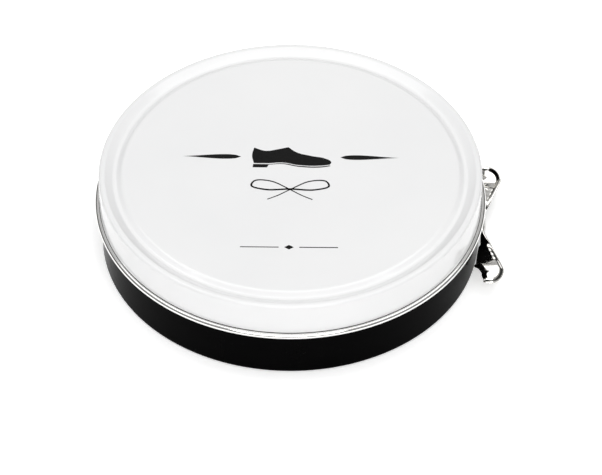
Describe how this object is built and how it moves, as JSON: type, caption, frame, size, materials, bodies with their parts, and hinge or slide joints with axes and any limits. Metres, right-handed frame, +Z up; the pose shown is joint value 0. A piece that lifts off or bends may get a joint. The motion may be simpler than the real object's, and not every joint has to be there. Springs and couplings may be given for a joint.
{
  "type": "shoe polish tin",
  "caption": "Round flat metal tin that holds a cake of shoe polish, with a lift-off lid and a turning butterfly key on the side that pries the lid open.",
  "frame": {"origin": "centre of the tin's underside, on the plane it stands on", "axes": "+Z up along the tin's own axis, +X out through the rivet of the key, +Y along the key's far wing"},
  "size_m": [0.0768, 0.0734, 0.0173],
  "materials": {
    "base": "gloss black lacquer outside, bare tinplate inside",
    "lid": "gloss white lacquer outside, bare tinplate inside and on the rolled edge",
    "opener_key": "bright nickel-plated steel",
    "key_rivet": "bright steel",
    "rivet_washer": "plain steel",
    "polish_cake": "black wax polish, soft sheen"
  },
  "bodies": {
    "base": {"base": "base", "polish_cake": "polish_cake", "key_rivet": "key_rivet", "rivet_washer": "rivet_washer"},
    "lid": {"lid": "lid"},
    "key": {"opener_key": "opener_key"}
  },
  "joints": [
    {"name": "lid_lift", "type": "slide", "parent": "base", "child": "lid", "axis": [0, 0, 1], "range_m": [0, 0.03]},
    {"name": "key_turn", "type": "hinge", "parent": "base", "child": "key", "pos_m": [0.036, 0, 0.0041], "axis": [1, 0, 0], "range_deg": [-28, 19]}
  ]
}
